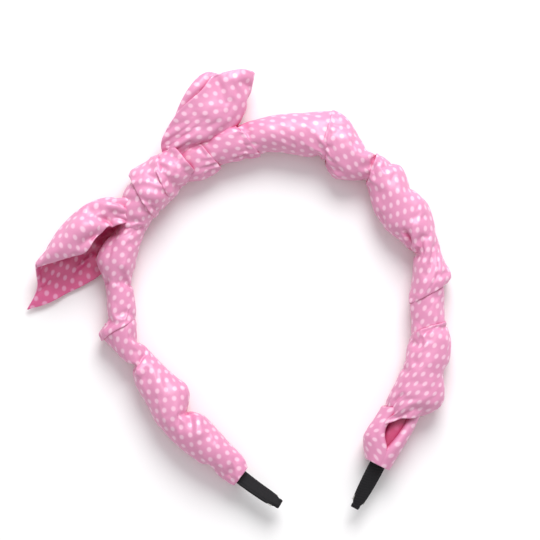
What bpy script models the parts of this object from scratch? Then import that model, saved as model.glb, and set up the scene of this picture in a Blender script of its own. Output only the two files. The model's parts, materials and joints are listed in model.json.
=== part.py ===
"""Hair hoop wound in satin, with a knotted bow of two rabbit ears.

A spring-steel strip in black tape is wound with a padded satin sash, which is knotted beside the
crown and leaves two free ears. The hoop lies flat: +Z points up from the surface it lies on, and
+Y points along the hoop, from its tips to its crown. The origin is at the bottom, below the
middle of the whole object.

A place on the hoop is given by s, the distance along its centreline from the top of the crown,
positive towards the right tip. Across the hoop, "out" is the distance from the centreline away
from the head, and z is the height above the hoop's own plane.
"""
import math

import bmesh
import bpy
from mathutils import Vector

MM = 0.001

# ---- the hoop's centreline ----
CROWN_RADIUS = 61 * MM
CROWN_SWEEP_LEFT = math.radians(112.4)
CROWN_SWEEP_RIGHT = math.radians(85.0)
LEFT_LEG_RADIUS = 172 * MM
LEFT_LEG_LENGTH = 76 * MM
RIGHT_LEG_RADIUS = 88 * MM
RIGHT_LEG_LENGTH = 63 * MM
RIGHT_END_RADIUS = 800 * MM
RIGHT_END_LENGTH = 47.5 * MM

# ---- the spring strip, its tape and their twist towards the tips ----
STRIP_WIDTH = 6.0 * MM
STRIP_THICKNESS = 0.9 * MM
TAPE_THICKNESS = 0.45 * MM
TAPED_WIDTH = STRIP_WIDTH + 2 * TAPE_THICKNESS
TAPED_THICKNESS = STRIP_THICKNESS + 2 * TAPE_THICKNESS
TWIST_LENGTH = 50 * MM
LEFT_TWIST = math.radians(-56)
RIGHT_TWIST = math.radians(62)
BARE_TIP_LEFT = 19.5 * MM
BARE_TIP_RIGHT = 20.0 * MM
TAPE_END_LENGTH = 2.6 * MM
# The sealed end of the tape, as (share of its length, of the tape's thickness, of its width).
LEFT_TAPE_END = ((0, 1.1, 0.78), (0.5, 1.05, 0.67), (1, 0.95, 0.55))
RIGHT_TAPE_END = ((0, 1.05, 0.52), (0.3, 0.95, 0.41), (0.6, 0.95, 0.41), (0.85, 1.05, 0.57), (1, 1.0, 0.54))

# ---- clearances ----
GAP = 0.3 * MM
GLUE_THICKNESS = 0.5 * MM
GLUE_LENGTH = 5 * MM
HINGE_CLEARANCE = 0.25 * MM

# ---- where the hoop bends, and how far ----
LEFT_HINGE = 2 * MM
RIGHT_HINGE = 54 * MM
OPEN_ANGLE = math.radians(18)
CLOSE_ANGLE = math.radians(4)
ANGLE_MARGIN = math.radians(1)

# ---- the knot ----
KNOT_START = -58 * MM
KNOT_BANDS = (8.5 * MM, 11.5 * MM, 12.5 * MM)
KNOT_CREASE_LEAN = 0.45

# ---- the wound sash ----
REST_HEIGHT = 8 * MM
RIM_LEAN = -0.5
RING_POINTS = 16
TAPE_POINTS = 8
SLOT_POWER = 0.35
TWIST_STEP = 3.2 * MM
STEPS_WHERE_FLAT = 3

# ---- the ears ----
EAR_THICKNESS = 1.2 * MM
# A neck is (place from the knot's end on that side, out, z).
UPPER_EAR_NECK = (0.0 * MM, 6.4 * MM, 8.0 * MM)
LOWER_EAR_NECK = (2.8 * MM, 8.1 * MM, 4.0 * MM)

# Each turn of the sash: its name, its length, and its stations. A station is
# (place along the turn, out, in, up, down): a share from 0 to 1, then the padding's reach in
# millimetres beyond half the taped strip's width.
LEFT_TURNS = (
    ("wrap_left_1", 23.0 * MM, (
        (0.0, 1.35, 2.35, 3.55, 5.25), (0.25, 2.35, 2.45, 4.15, 5.25), (0.5, 5.15, 2.85, 4.95, 5.25),
        (0.72, 6.75, 2.55, 4.95, 5.25), (0.88, 5.15, 1.85, 3.95, 4.55), (1.0, 2.55, 1.65, 2.95, 3.55))),
    ("wrap_left_2", 20.0 * MM, (
        (0.0, 1.95, 1.75, 2.75, 3.15), (0.3, 1.65, 2.65, 3.15, 3.75), (0.7, 1.95, 2.75, 3.15, 3.95),
        (1.0, 4.95, 1.85, 2.95, 3.55))),
    ("wrap_left_3", 14.5 * MM, (
        (0.0, 7.15, 1.75, 3.55, 3.95), (0.4, 4.05, 0.85, 2.55, 3.55), (0.75, 1.95, 1.55, 1.95, 2.75),
        (1.0, 0.35, 2.05, 1.55, 2.15))),
    ("wrap_left_4", 29.0 * MM, (
        (0.0, 0.55, 2.55, 1.75, 2.35), (0.2, 2.35, 4.35, 3.55, 4.75), (0.4, 2.95, 5.65, 4.95, 5.35),
        (0.65, 3.95, 7.05, 5.35, 5.75), (0.85, 5.45, 4.95, 4.95, 5.35), (1.0, 5.55, 2.15, 3.75, 4.35))),
    ("wrap_left_5", 31.5 * MM, (
        (0.0, 5.45, 1.95, 3.75, 4.35), (0.25, 5.05, 5.05, 4.35, 5.25), (0.5, 3.85, 4.95, 3.95, 5.25),
        (0.75, 1.35, 4.15, 2.75, 4.15), (0.9, 0.75, 3.75, 1.75, 2.95), (1.0, 1.15, 1.45, 1.35, 1.35))),
)
CROWN_LEFT_TURNS = (
    ("wrap_by_knot", 8.5 * MM, (
        (0.0, 1.75, 2.55, 2.95, 3.55), (0.6, 2.35, 5.15, 3.35, 4.15), (1.0, 2.15, 6.55, 3.35, 4.35))),
    ("wrap_crown_left", 19.0 * MM, (
        (0.0, 2.15, 5.15, 3.35, 4.35), (0.35, 2.75, 5.55, 3.75, 5.25), (0.7, 2.55, 5.85, 3.95, 5.25),
        (1.0, 1.95, 5.35, 3.55, 4.55))),
)
CROWN_TURNS = (
    ("wrap_crown", 30.0 * MM, (
        (0.0, 1.75, 5.15, 3.55, 4.55), (0.25, 3.55, 4.55, 4.55, 5.25), (0.55, 5.35, 4.95, 5.15, 5.35),
        (0.8, 7.75, 5.15, 5.35, 5.35), (1.0, 9.75, 4.35, 5.15, 5.35))),
    ("wrap_crown_right", 22.0 * MM, (
        (0.0, 9.75, 4.55, 5.15, 5.35), (0.25, 7.95, 7.75, 5.35, 5.35), (0.5, 4.75, 8.55, 5.15, 5.35),
        (0.72, 1.95, 6.75, 4.55, 5.25), (1.0, 2.35, 2.95, 3.15, 3.95))),
)
RIGHT_TURNS = (
    ("wrap_right_1", 35.0 * MM, (
        (0.0, 3.15, 2.55, 3.15, 3.95), (0.2, 4.95, 5.85, 4.55, 5.25), (0.42, 3.05, 8.35, 5.35, 5.35),
        (0.65, 4.55, 8.35, 5.55, 5.35), (0.85, 4.35, 5.75, 4.75, 5.25), (1.0, 2.95, 2.55, 3.35, 3.95))),
    ("wrap_right_2", 20.0 * MM, (
        (0.0, 2.95, 1.15, 3.15, 3.75), (0.35, 3.55, 1.75, 3.55, 3.95), (0.8, 5.45, 3.75, 4.15, 4.55),
        (1.0, 3.95, 5.15, 3.75, 4.35))),
    ("wrap_right_3", 13.0 * MM, (
        (0.0, 2.75, 4.95, 3.15, 3.95), (0.5, 1.75, 4.85, 2.95, 3.75), (1.0, 2.95, 4.35, 3.35, 3.95))),
    ("wrap_right_4", 39.0 * MM, (
        (0.0, 3.75, 4.15, 3.75, 4.55), (0.2, 6.75, 3.55, 5.15, 5.35), (0.42, 6.05, 4.15, 5.55, 5.55),
        (0.68, 9.15, 5.15, 5.75, 5.55), (0.86, 5.95, 5.65, 4.75, 5.25), (1.0, 3.15, 5.95, 3.55, 4.35))),
    ("wrap_right_5", 20.0 * MM, (
        (0.0, 2.95, 5.95, 3.15, 4.15), (0.25, 2.65, 6.75, 2.95, 3.95), (0.55, 1.75, 6.95, 2.35, 3.15),
        (0.82, 0.75, 4.95, 1.75, 2.15), (1.0, 1.55, 2.15, 1.55, 1.55))),
)
# The knot's three bands, from its left end: (place along the band, out, in, up, down).
KNOT_STATIONS = (
    ("knot_band_left", (
        (0.0, 2.35, 2.55, 4.75, 5.25), (0.5, 4.75, 3.35, 6.95, 5.35), (1.0, 6.15, 4.35, 8.15, 5.35))),
    ("knot_band_middle", (
        (0.0, 6.55, 4.75, 8.55, 5.35), (0.4, 8.75, 5.25, 9.55, 5.55), (1.0, 7.35, 4.95, 8.95, 5.35))),
    ("knot_band_right", (
        (0.0, 6.95, 4.55, 8.55, 5.35), (0.4, 5.15, 4.15, 7.75, 5.35), (0.75, 3.95, 3.55, 6.15, 5.25),
        (1.0, 1.55, 2.55, 4.15, 4.55))),
)

# The ears' cages, in mm from the neck: (along the hoop, out, up). Each row runs across the ear,
# and the rows go from the knot to the free end.
UPPER_EAR_CAGE = (
    ((0, 0, 2.5), (-1.5, 2, 3), (-3.5, 4, 2.5), (-3.5, 4, 0.5),
     (0, 0.5, 0), (3.5, -3, -0.5), (4.5, -3.5, -0.5)),
    ((5.5, 2.5, 3.5), (2.5, 6.5, 4.5), (0, 10.5, 4), (0, 10.5, 0),
     (5, 2.5, 0), (10, -4.5, 0.5), (11.5, -5, 0.5)),
    ((12, 6, 5), (9.5, 11, 6.5), (6.5, 15.5, 5.5), (6.5, 15.5, -0.5),
     (14, 3.5, -1.5), (22, -6.5, 1), (23.5, -7, 1)),
    ((20, 10.5, 7), (17.5, 15, 8.5), (15.5, 19, 7), (15.5, 19, -1),
     (24.5, 8, -2.5), (34, -2.5, 1), (34.5, -2, -3)),
    ((28, 14, 5.5), (27, 16.5, 8), (26.5, 19, 6.5), (26.5, 19, -1.5),
     (34, 13, -2.5), (43.5, 7.5, 0.5), (43, 7, -4.5)),
)
LOWER_EAR_CAGE = (
    ((-3.5, -1, 2.5), (0, 0.5, 4), (5, 2, 3),
     (5, 2, -1), (-0.5, 1, -2), (-5.5, 0, -2)),
    ((-10, 1.5, 6), (-4, 5, 8), (2.5, 10, 5),
     (2.5, 10, -3), (-6.5, 5.5, -6), (-15, 1.5, -5)),
    ((-19, 3, 8.5), (-12.5, 8, 10.5), (-5.5, 15.5, 7.5),
     (-5.5, 15.5, -5), (-17.5, 6.5, -9), (-28.5, -1, -7.5)),
    ((-26, 6, 9.5), (-20.5, 11.5, 11), (-15, 19.5, 8),
     (-15, 19.5, -6), (-27, 9, -10), (-37.5, 0, -8.5)),
    ((-31.5, 11.5, 8.5), (-28.5, 15.5, 9.5), (-25, 22, 7),
     (-25, 22, -6), (-37, 13, -10), (-46.5, 5.5, -8.5)),
    ((-36.5, 17.5, 5.5), (-35.5, 19, 6), (-34, 22.5, 4.5),
     (-34, 22.5, -5), (-44.5, 17.5, -9), (-54, 13.5, -7)),
)


def clear_scene():
    for obj in list(bpy.data.objects):
        bpy.data.objects.remove(obj, do_unlink=True)


def finish_material(name, color, roughness, metallic=0.0):
    material = bpy.data.materials.new(name)
    material.use_nodes = True
    shader = material.node_tree.nodes["Principled BSDF"]
    shader.inputs["Base Color"].default_value = (*color, 1.0)
    shader.inputs["Roughness"].default_value = roughness
    shader.inputs["Metallic"].default_value = metallic
    return material


# ---- places on the hoop ----

def hoop_arcs(side):
    """The (radius, length) of each arc from the top of the crown to the tip on one side."""
    if side > 0:
        return (
            (CROWN_RADIUS, CROWN_RADIUS * CROWN_SWEEP_RIGHT),
            (RIGHT_LEG_RADIUS, RIGHT_LEG_LENGTH),
            (RIGHT_END_RADIUS, RIGHT_END_LENGTH),
        )
    return ((CROWN_RADIUS, CROWN_RADIUS * CROWN_SWEEP_LEFT), (LEFT_LEG_RADIUS, LEFT_LEG_LENGTH))


def hoop_reach(side):
    return sum(length for radius, length in hoop_arcs(side))


def hoop_frame(s):
    """The centreline's point at s and its normal pointing away from the head, both in the plane."""
    side = 1 if s >= 0 else -1
    point = Vector((0.0, CROWN_RADIUS))
    heading = 0.0 if side > 0 else math.pi
    left = abs(s)
    arcs = hoop_arcs(side)
    for index, (radius, length) in enumerate(arcs):
        step = left if index == len(arcs) - 1 else min(left, length)
        bend = -side * step / radius
        chord = 2 * radius * math.sin(step / radius / 2)
        middle = heading + bend / 2
        point += chord * Vector((math.cos(middle), math.sin(middle)))
        heading += bend
        left -= step
    normal = side * Vector((-math.sin(heading), math.cos(heading)))
    return point, normal


def hoop_point(s, out, z):
    point, normal = hoop_frame(s)
    spot = point + out * normal
    return Vector((spot.x, spot.y, z))


def ease(t):
    t = min(max(t, 0.0), 1.0)
    return t * t * (3 - 2 * t)


def fabric_end(side):
    """The s at which the sash ends and the bare taped tip begins."""
    bare = BARE_TIP_RIGHT if side > 0 else BARE_TIP_LEFT
    return side * (hoop_reach(side) - bare)


def strip_twist(s):
    """The strip's broad face points at the head over the crown, and turns up towards each tip."""
    side = 1 if s >= 0 else -1
    twist = RIGHT_TWIST if side > 0 else LEFT_TWIST
    to_end = abs(fabric_end(side)) - abs(s)
    return twist * ease(1 - to_end / TWIST_LENGTH)


# ---- cross-sections, as lists of (out, z) ----

def oval_section(out, inward, up, down):
    """A padded turn's outline, flat where it rests on the surface."""
    points = []
    for k in range(RING_POINTS):
        angle = 2 * math.pi * k / RING_POINTS
        across = math.cos(angle)
        rise = math.sin(angle)
        x = across * (out if across > 0 else inward)
        z = rise * (up if rise > 0 else down)
        points.append((x, max(z, -REST_HEIGHT)))
    return points


def slot_section(thickness, width, twist, count):
    """A flat strip's outline with rounded edges, turned by the strip's twist."""
    points = []
    for k in range(count):
        angle = 2 * math.pi * k / count
        across = math.copysign(abs(math.cos(angle)) ** SLOT_POWER, math.cos(angle)) * thickness / 2
        along = math.copysign(abs(math.sin(angle)) ** SLOT_POWER, math.sin(angle)) * width / 2
        x = across * math.cos(twist) - along * math.sin(twist)
        z = across * math.sin(twist) + along * math.cos(twist)
        points.append((x, z))
    return points


def ring_at(s, section, lean):
    """The section's points in space; lean(out) slides each one along the hoop."""
    return [hoop_point(s + lean(x), x, z) for x, z in section]


def slot_ring(s, thickness, width, lean, count=TAPE_POINTS):
    """As ring_at, with each point of the slot turned by the twist at its own place."""
    flat = slot_section(thickness, width, strip_twist(s), count)
    ring = []
    for k, (x, z) in enumerate(flat):
        place = s + lean(x)
        x, z = slot_section(thickness, width, strip_twist(place), count)[k]
        ring.append(hoop_point(place, x, z))
    return ring


# ---- building ----

def add_mesh(name, points, faces, material, pivot):
    """A mesh object whose origin is on its pivot, with its faces pointing out."""
    origin = pivot["point"]
    mesh = bpy.data.meshes.new(name)
    mesh.from_pydata([point - origin for point in points], [], faces)
    work = bmesh.new()
    work.from_mesh(mesh)
    bmesh.ops.recalc_face_normals(work, faces=work.faces[:])
    work.to_mesh(mesh)
    work.free()
    mesh.shade_smooth()
    obj = bpy.data.objects.new(name, mesh)
    obj.parent = pivot["empty"]
    mesh.materials.append(material)
    bpy.data.collections["hair_hoop"].objects.link(obj)
    return obj


def loft(name, rings, material, pivot, closed=False):
    """Skin rings of equal count. Closed joins the last to the first, which makes a sleeve."""
    count = len(rings[0])
    points = [point for ring in rings for point in ring]
    spans = len(rings) if closed else len(rings) - 1
    faces = []
    for i in range(spans):
        a = i * count
        b = (i + 1) % len(rings) * count
        for k in range(count):
            n = (k + 1) % count
            faces.append((a + k, a + n, b + n, b + k))
    if not closed:
        faces.append(tuple(range(count)))
        faces.append(tuple(range(len(points) - count, len(points))))
    return add_mesh(name, points, faces, material, pivot)


def square_end(out):
    return 0.0


def rim_lean(out):
    return RIM_LEAN * out


def crease_lean(out):
    return KNOT_CREASE_LEAN * out


def hinge_lean(away):
    """An end beside a hinge falls away from it: outside by the opening angle, inside by the
    closing one."""
    opening = math.tan(OPEN_ANGLE + ANGLE_MARGIN)
    closing = math.tan(CLOSE_ANGLE + ANGLE_MARGIN)

    def lean(out):
        return away * (opening * max(out, 0.0) + closing * max(-out, 0.0))

    return lean


def blend_lean(first, last, t):
    return lambda out: (1 - t) * first(out) + t * last(out)


def sleeve(name, start, end, stations, leans, hole_extra, material, pivot):
    """A turn of the sash round the taped strip, between two places on the hoop."""
    outer = []
    inner = []
    thickness = TAPED_THICKNESS + 2 * (GAP + hole_extra)
    width = TAPED_WIDTH + 2 * (GAP + hole_extra)
    for t, *padding in stations:
        s = start + (end - start) * t
        lean = blend_lean(leans[0], leans[1], t)
        section = oval_section(*(TAPED_WIDTH / 2 + reach * MM for reach in padding))
        outer.append(ring_at(s, section, lean))
        inner.append(slot_ring(s, thickness, width, lean, RING_POINTS))
    return loft(name, outer + inner[::-1], material, pivot, closed=True)


def turn_row(turns, start, end, leans, material, pivot, end_extra=0.0):
    """Lay a row of turns from start to end, stretched to fill it, a gap apart."""
    step = 1 if end > start else -1
    stretch = abs(end - start) / sum(turn[1] for turn in turns)
    at = start
    for index, (name, length, stations) in enumerate(turns):
        first = index == 0
        last = index == len(turns) - 1
        after = at + step * length * stretch
        pair = (leans[0] if first else rim_lean, leans[1] if last else rim_lean)
        low = at + step * (0.0 if first else GAP / 2)
        high = after - step * (0.0 if last else GAP / 2)
        sleeve(name, low, high, stations, pair, end_extra if last else 0.0, material, pivot)
        at = after


def core_places(start, end):
    """Both ends, and between them a grid that is closer where the strip twists."""
    low, high = min(start, end), max(start, end)
    inside = []
    for k in range(math.ceil(low / TWIST_STEP), math.floor(high / TWIST_STEP) + 1):
        s = k * TWIST_STEP
        clear = s - low > TWIST_STEP / 4 and high - s > TWIST_STEP / 4
        if clear and (strip_twist(s) or k % STEPS_WHERE_FLAT == 0):
            inside.append(s)
    places = [low, *inside, high]
    return places if end > start else places[::-1]


def tape_sleeve(name, start, end, leans, material, pivot):
    """A length of tape round the strip."""
    inner_size = (STRIP_THICKNESS + GAP, STRIP_WIDTH + GAP)
    outer_size = (TAPED_THICKNESS, TAPED_WIDTH)
    outer = []
    inner = []
    places = core_places(start, end)
    for index, s in enumerate(places):
        lean = blend_lean(leans[0], leans[1], index / (len(places) - 1))
        outer.append(slot_ring(s, *outer_size, lean))
        inner.append(slot_ring(s, *inner_size, lean))
    return loft(name, outer + inner[::-1], material, pivot, closed=True)


def spring_strip(name, start, end, material, pivot):
    """A flat strip swept along the hoop, twisting towards the tip."""
    profile_data = bpy.data.curves.new(name + "_profile", "CURVE")
    profile_data.dimensions = "2D"
    corners = profile_data.splines.new("POLY")
    corners.points.add(3)
    half_x = (STRIP_THICKNESS - GAP) / 2
    half_y = (STRIP_WIDTH - GAP) / 2
    for point, (x, y) in zip(corners.points, ((1, 1), (1, -1), (-1, -1), (-1, 1))):
        point.co = (x * half_x, y * half_y, 0.0, 1.0)
    corners.use_cyclic_u = True
    profile = bpy.data.objects.new(name + "_profile", profile_data)
    profile.hide_render = True
    profile.display_type = "WIRE"
    bpy.data.collections["guides"].objects.link(profile)

    data = bpy.data.curves.new(name, "CURVE")
    data.dimensions = "3D"
    data.twist_mode = "Z_UP"
    data.bevel_mode = "OBJECT"
    data.bevel_object = profile
    data.use_fill_caps = True
    line = data.splines.new("POLY")
    places = core_places(start, end)
    line.points.add(len(places) - 1)
    way = 1 if end > start else -1
    for point, s in zip(line.points, places):
        spot = hoop_point(s, 0.0, 0.0) - pivot["point"]
        point.co = (*spot, 1.0)
        point.tilt = way * strip_twist(s)
    strip = bpy.data.objects.new(name, data)
    strip.parent = pivot["empty"]
    data.materials.append(material)
    bpy.data.collections["hair_hoop"].objects.link(strip)
    return strip


def tape_end(name, side, sizes, material, pivot):
    """The tape's gathered and sealed end, past the strip. A size is a share of its length, and
    then of the tape's thickness and width."""
    tip = side * hoop_reach(side)
    start = tip - side * (TAPE_END_LENGTH - GAP)
    rings = []
    for t, thickness, width in sizes:
        s = start + (tip - start) * t
        rings.append(slot_ring(s, thickness * TAPED_THICKNESS, width * TAPED_WIDTH, square_end))
    return loft(name, rings, material, pivot)


def glue_ring(name, side, material, pivot):
    """The glue that holds the sash's end to the tape."""
    end = fabric_end(side) - side * GAP
    start = end - side * GLUE_LENGTH
    room = 2 * GAP
    full = room + 2 * GLUE_THICKNESS
    outer = []
    inner = []
    for s in (start, (start + end) / 2, end):
        outer.append(slot_ring(s, TAPED_THICKNESS + full, TAPED_WIDTH + full, square_end))
        inner.append(slot_ring(s, TAPED_THICKNESS + room, TAPED_WIDTH + room, square_end))
    return loft(name, outer + inner[::-1], material, pivot, closed=True)


def neck_axes(s):
    """Directions along the hoop and out from it at s."""
    normal = hoop_frame(s)[1]
    return Vector((normal.y, -normal.x, 0.0)), Vector((normal.x, normal.y, 0.0))


def ear(name, s, cage, material, pivot):
    """A folded length of sash: a coarse cage, smoothed and given the cloth's thickness."""
    columns = len(cage[0])
    forward, outward = neck_axes(s)
    points = []
    for row in cage:
        for along, out, up in row:
            offset = along * forward + out * outward + Vector((0, 0, up))
            points.append(pivot["point"] + offset * MM)
    faces = []
    for i in range(len(cage) - 1):
        for k in range(columns - 1):
            a = i * columns + k
            faces.append((a, a + 1, a + columns + 1, a + columns))
    obj = add_mesh(name, points, faces, material, pivot)
    smooth = obj.modifiers.new("smooth", "SUBSURF")
    smooth.levels = 1
    smooth.render_levels = 1
    smooth.boundary_smooth = "PRESERVE_CORNERS"
    skin = obj.modifiers.new("cloth", "SOLIDIFY")
    skin.thickness = EAR_THICKNESS
    skin.offset = 0.0
    return obj


def add_pivot(name, point, parent):
    """An empty on a joint's axis, which carries the pieces that move with it."""
    empty = bpy.data.objects.new(name, None)
    empty.empty_display_size = 10 * MM
    base = Vector((0, 0, 0))
    if parent:
        empty.parent = parent["empty"]
        base = parent["point"]
    empty.location = point - base
    bpy.data.collections["hair_hoop"].objects.link(empty)
    return {"empty": empty, "point": point}


def build_knot(material, pivot):
    at = KNOT_START + GAP
    leans = (square_end, crease_lean, crease_lean, square_end)
    for index, (name, stations) in enumerate(KNOT_STATIONS):
        after = at + KNOT_BANDS[index]
        low = at + GAP / 2
        high = after - GAP / 2
        sleeve(name, low, high, stations, (leans[index], leans[index + 1]), 0.0, material, pivot)
        at = after


def set_origin(root):
    """Move the whole object so that the middle of its underside is at the origin."""
    bpy.context.view_layer.update()
    depsgraph = bpy.context.evaluated_depsgraph_get()
    corners = []
    for obj in bpy.data.collections["hair_hoop"].objects:
        if obj.type == "EMPTY":
            continue
        shape = obj.evaluated_get(depsgraph)
        mesh = shape.to_mesh()
        corners.extend(obj.matrix_world @ vertex.co for vertex in mesh.vertices)
        shape.to_mesh_clear()
    low = Vector([min(corner[i] for corner in corners) for i in range(3)])
    high = Vector([max(corner[i] for corner in corners) for i in range(3)])
    middle = (low + high) / 2
    root["empty"].location -= Vector((middle.x, middle.y, low.z))
    bpy.context.view_layer.update()


def main():
    clear_scene()
    for name in ("hair_hoop", "guides"):
        bpy.context.scene.collection.children.link(bpy.data.collections.new(name))

    steel = finish_material("spring_steel", (0.55, 0.56, 0.58), 0.35, 1.0)
    tape = finish_material("black_tape", (0.023, 0.021, 0.027), 0.75)
    satin = finish_material("pink_satin", (0.84, 0.37, 0.58), 0.42)
    glue = finish_material("clear_glue", (0.75, 0.72, 0.62), 0.30)

    crown = add_pivot("hoop_middle", Vector((0, 0, 0)), None)
    left = add_pivot("left_leg_pivot", hoop_point(LEFT_HINGE, 0, 0), crown)
    right = add_pivot("right_leg_pivot", hoop_point(RIGHT_HINGE, 0, 0), crown)
    knot_end = KNOT_START + GAP + sum(KNOT_BANDS)
    upper_place = knot_end + UPPER_EAR_NECK[0]
    lower_place = KNOT_START + LOWER_EAR_NECK[0]
    upper = add_pivot("upper_ear_pivot", hoop_point(upper_place, *UPPER_EAR_NECK[1:]), left)
    lower = add_pivot("lower_ear_pivot", hoop_point(lower_place, *LOWER_EAR_NECK[1:]), left)

    left_tip = -hoop_reach(-1) + TAPE_END_LENGTH
    right_tip = hoop_reach(1) - TAPE_END_LENGTH
    crown_start = LEFT_HINGE + HINGE_CLEARANCE
    crown_end = RIGHT_HINGE - HINGE_CLEARANCE
    left_start = LEFT_HINGE - HINGE_CLEARANCE
    right_start = RIGHT_HINGE + HINGE_CLEARANCE
    left_edge = fabric_end(-1)
    right_edge = fabric_end(1)
    half_gap = GAP / 2
    square = (square_end, square_end)
    to_left = (hinge_lean(-1), square_end)
    to_right = (hinge_lean(1), square_end)

    spring_strip("spring_strip_crown", crown_start, crown_end, steel, crown)
    spring_strip("spring_strip_left", left_start, left_tip + GAP, steel, left)
    spring_strip("spring_strip_right", right_start, right_tip - GAP, steel, right)

    tape_sleeve("tape_crown", crown_start, crown_end, square, tape, crown)
    tape_sleeve("tape_left", left_start, left_edge + half_gap, to_left, tape, left)
    tape_sleeve("tape_right", right_start, right_edge - half_gap, to_right, tape, right)
    tape_sleeve("tip_tape_left", left_edge - half_gap, left_tip, square, tape, left)
    tape_sleeve("tip_tape_right", right_edge + half_gap, right_tip, square, tape, right)
    tape_end("tape_end_left", -1, LEFT_TAPE_END, tape, left)
    tape_end("tape_end_right", 1, RIGHT_TAPE_END, tape, right)

    build_knot(satin, left)
    glued = GLUE_THICKNESS + GAP
    beside_left_hinge = (square_end, hinge_lean(-1))
    turn_row(LEFT_TURNS, KNOT_START, left_edge, square, satin, left, glued)
    turn_row(CROWN_LEFT_TURNS, knot_end + GAP, left_start, beside_left_hinge, satin, left)
    turn_row(CROWN_TURNS, crown_start, crown_end, square, satin, crown)
    turn_row(RIGHT_TURNS, right_start, right_edge, to_right, satin, right, glued)
    glue_ring("glue_left", -1, glue, left)
    glue_ring("glue_right", 1, glue, right)

    ear("ear_upper", upper_place, UPPER_EAR_CAGE, satin, upper)
    ear("ear_lower", lower_place, LOWER_EAR_CAGE, satin, lower)
    set_origin(crown)


main()
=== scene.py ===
# %% [markdown]
# # A hair hoop wound in polka-dot satin
# A strip of spring steel, sleeved in black tape, is wound with a padded satin sash. The sash is knotted
# to the left of the crown, and its two free ends stand off the knot like a rabbit's ears. The steel,
# the tape and the size of everything come from the CAD frame. This script makes the cloth: every turn
# of the sash, the knot and the ears, and the finish of every surface.

# %% Load the frame
import json
import math

import bpy
import numpy as np
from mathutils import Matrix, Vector, noise


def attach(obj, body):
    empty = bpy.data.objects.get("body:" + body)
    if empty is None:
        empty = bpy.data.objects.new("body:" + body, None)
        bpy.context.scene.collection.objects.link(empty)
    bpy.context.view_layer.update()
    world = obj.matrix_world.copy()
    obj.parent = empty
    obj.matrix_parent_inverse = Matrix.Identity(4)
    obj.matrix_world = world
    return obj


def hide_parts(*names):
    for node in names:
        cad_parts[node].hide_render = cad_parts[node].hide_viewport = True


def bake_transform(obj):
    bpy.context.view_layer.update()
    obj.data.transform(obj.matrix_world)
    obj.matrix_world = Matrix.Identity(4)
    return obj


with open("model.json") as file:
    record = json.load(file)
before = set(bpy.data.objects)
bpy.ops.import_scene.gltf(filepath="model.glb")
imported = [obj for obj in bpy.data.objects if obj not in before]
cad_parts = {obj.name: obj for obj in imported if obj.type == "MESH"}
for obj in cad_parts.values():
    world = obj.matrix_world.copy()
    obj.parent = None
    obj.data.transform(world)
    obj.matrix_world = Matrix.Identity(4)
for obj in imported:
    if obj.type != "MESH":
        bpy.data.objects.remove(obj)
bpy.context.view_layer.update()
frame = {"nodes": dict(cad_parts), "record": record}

# %% [markdown]
# ## The line of the hoop
# Everything on a hoop is easiest to place by s, the distance along its centreline from the top of the
# crown, in millimetres and positive to the right. Sideways, "out" is the distance away from the head,
# and z is the height above the hoop's own plane. The line is a few arcs, each tangent to the next, so
# a point on it is found by walking along their chords. The CAD hinge at s = 2 ties it to the frame.

# %% Arcs of the hoop
MM = 0.001
CROWN_RADIUS = 61.0
RIGHT_ARCS = ((CROWN_RADIUS, CROWN_RADIUS * math.radians(85.0)), (88.0, 63.0), (800.0, 47.5))
LEFT_ARCS = ((CROWN_RADIUS, CROWN_RADIUS * math.radians(112.4)), (172.0, 76.0))
LEFT_HINGE = 2.0
RIGHT_HINGE = 54.0
HOOP_HEIGHT = 8.0


def hoop_line(s):
    """Centreline points and outward normals at an array of places, in mm."""
    s = np.asarray(s, float)
    points = np.zeros((*s.shape, 2))
    normals = np.zeros((*s.shape, 2))
    for side, arcs in ((1, RIGHT_ARCS), (-1, LEFT_ARCS)):
        mine = (s >= 0) == (side > 0)
        left = np.abs(s[mine])
        x = np.zeros_like(left)
        y = np.full_like(left, CROWN_RADIUS)
        heading = np.full_like(left, 0.0 if side > 0 else math.pi)
        for number, (radius, length) in enumerate(arcs):
            step = left if number == len(arcs) - 1 else np.minimum(left, length)
            turned = -side * step / radius
            chord = 2 * radius * np.sin(step / radius / 2)
            x += chord * np.cos(heading + turned / 2)
            y += chord * np.sin(heading + turned / 2)
            heading += turned
            left = left - step
        points[mine] = np.stack([x, y], axis=-1)
        normals[mine] = side * np.stack([-np.sin(heading), np.cos(heading)], axis=-1)
    return points, normals


joints = {joint["name"]: joint for joint in frame["record"]["behaviour"]["joints"]}
hinge_there = np.array(joints["left_leg_flex"]["pos_m"]) / MM
hinge_here = hoop_line([LEFT_HINGE])[0][0]
SHIFT = np.array([hinge_there[0] - hinge_here[0], hinge_there[1] - hinge_here[1], hinge_there[2]])
print("hoop plane to world, mm:", SHIFT.round(2))


def place(s, out, z):
    """World points in metres for places on the hoop, in mm."""
    points, normals = hoop_line(s)
    flat = points + np.asarray(out)[..., None] * normals
    z = np.broadcast_to(np.asarray(z, float), flat.shape[:-1])
    return (np.concatenate([flat, z[..., None]], axis=-1) + SHIFT) * MM


# %% [markdown]
# ## Camera, floor and light
# The camera looks straight down on the hoop, turned a little so that the hoop leans as it does when it
# is laid down by hand. A long lens keeps the two legs the same size. The floor is a plain pale board,
# and the light is one broad soft box beyond the crown in an evenly lit white room.

# %% Camera
CAMERA_TURN = math.radians(-10.64)
VIEW_WIDTH = 213.3 * MM
VIEW_MIDDLE = Vector((0.01408, 0.00826, HOOP_HEIGHT * MM))
CAMERA_DISTANCE = 1.2
SENSOR = 36.0

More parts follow.
